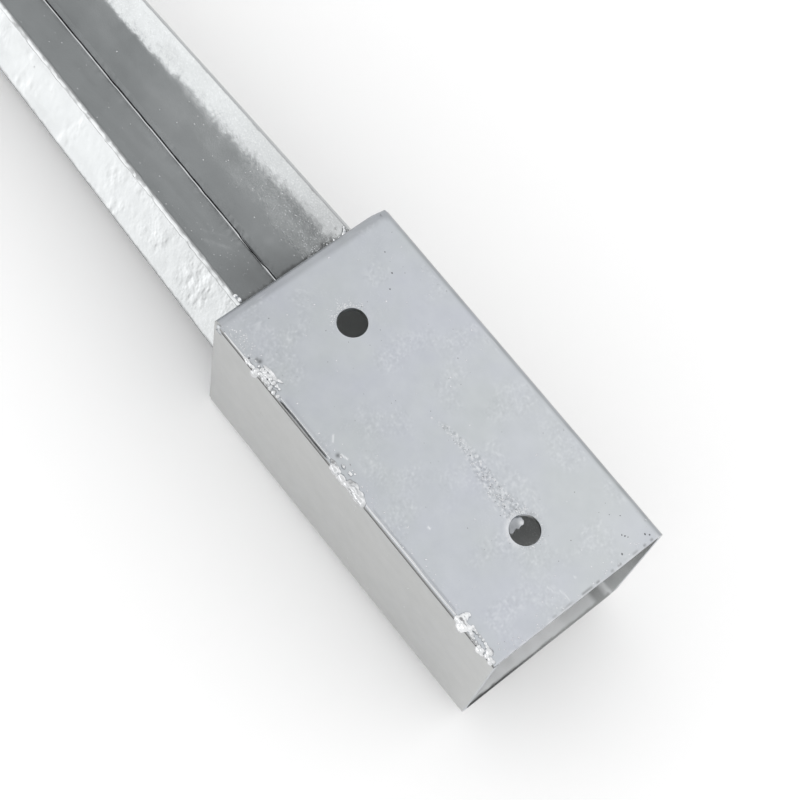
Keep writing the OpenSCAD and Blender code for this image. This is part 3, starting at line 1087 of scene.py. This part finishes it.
# A torn skin of zinc in the mouth's hole: its outline about the hole's centre, in millimetres
FLAKE = ((-4.2, -3.9), (-5.7, -1.8), (-5.8, 0.0), (-5.2, 1.6), (-4.1, 2.4), (-2.7, 2.1), (-1.8, 1.1))
FLAKE += ((-2.0, 0.0), (-1.5, -1.1), (-2.4, -1.7), (-1.9, -2.8), (-1.6, -3.8), (-2.2, -4.7))
flake_bm = bmesh.new()
flake_face = flake_bm.faces.new(
    [flake_bm.verts.new((HOLE_MOUTH_X + a * MM, b * MM, HALF - 1.1 * MM)) for a, b in FLAKE]
)
bmesh.ops.triangulate(flake_bm, faces=[flake_face])
bmesh.ops.subdivide_edges(flake_bm, edges=flake_bm.edges, cuts=3, use_grid_fill=True)
bmesh.ops.solidify(flake_bm, geom=flake_bm.faces, thickness=0.3 * MM)
flake_mesh = mesh_of(flake_bm, "hole_flake")
places = vertex_places(flake_mesh)
places[:, 2] += 0.35 * MM * noise(places * (1, 1, 0), 1.6 * MM, 51)
move_vertices(flake_mesh, places)
from_shine = np.hypot(places[:, 0] - HOLE_MOUTH_X + 2.7 * MM, places[:, 1] - 1.0 * MM)
flake_bright = 0.8 * bump_at(from_shine, 0, 0.9 * MM)
flake_dark = 0.33 + 0.2 * noise(places, 1.5 * MM, 52)
finished("hole_flake", flake_mesh, "galvanised_sheet", dark=flake_dark, bright=flake_bright)

# Floor that touches the socket's lower edge and the spike's tip, as the part comes to rest
tilt = math.atan2(HALF - BEND_OUT, -TIP_X)
floor_mesh = bpy.data.meshes.new("floor")
floor_corners = [(a * FLOOR_HALF, b * FLOOR_HALF, 0) for a, b in ((-1, -1), (1, -1), (1, 1), (-1, 1))]
floor_mesh.from_pydata(floor_corners, [], [(0, 1, 2, 3)])
floor = bpy.data.objects.new("floor", floor_mesh)
bpy.context.collection.objects.link(floor)
floor.matrix_world = Matrix.Translation((0, 0, -HALF)) @ Matrix.Rotation(tilt, 4, "Y")
paper = bpy.data.materials.new("paper")
paper.use_nodes = True
paper_shader = paper.node_tree.nodes["Principled BSDF"]
paper_shader.inputs["Base Color"].default_value = (0.985, 0.985, 0.985, 1)
paper_shader.inputs["Roughness"].default_value = 0.9
paper_shader.inputs["Specular IOR Level"].default_value = 0
floor_mesh.materials.append(paper)


def softbox(name, direction, distance, width, height, radiance):
    """A large soft lamp that looks at the socket."""
    lamp = bpy.data.lights.new(name, "AREA")
    lamp.shape = "RECTANGLE"
    lamp.size = width
    lamp.size_y = height
    lamp.energy = radiance * math.pi * width * height
    holder = bpy.data.objects.new(name, lamp)
    bpy.context.collection.objects.link(holder)
    direction = Vector(direction).normalized()
    holder.location = direction * distance
    holder.rotation_euler = direction.to_track_quat("Z", "Y").to_euler()


softbox("top_light", (0.15, 0.4, 0.9), 1.6, 1.5, 1.5, 0.14)
softbox("side_light", (-0.35, -0.9, 0.36), 1.6, 1.9, 0.55, 1.0)

scene = bpy.context.scene
world = bpy.data.worlds.new("studio")
world.use_nodes = True
world.node_tree.nodes["Background"].inputs["Color"].default_value = (1, 1, 1, 1)
world.node_tree.nodes["Background"].inputs["Strength"].default_value = 1.04
scene.world = world
scene.view_settings.view_transform = "Standard"

camera = bpy.data.cameras.new("photo_camera")
camera.sensor_fit = "HORIZONTAL"
camera.sensor_width = 36
camera.lens = CAMERA_LENS
camera_holder = bpy.data.objects.new("photo_camera", camera)
bpy.context.collection.objects.link(camera_holder)
ahead = (CAMERA_TO - CAMERA_AT).normalized()
level_right = ahead.cross(Vector((0, 0, 1))).normalized()
level_down = ahead.cross(level_right)
right = math.cos(CAMERA_ROLL) * level_right + math.sin(CAMERA_ROLL) * level_down
down = ahead.cross(right)
turn = Matrix((right, -down, -ahead)).transposed().to_4x4()
camera_holder.matrix_world = Matrix.Translation(CAMERA_AT) @ turn
scene.camera = camera_holder
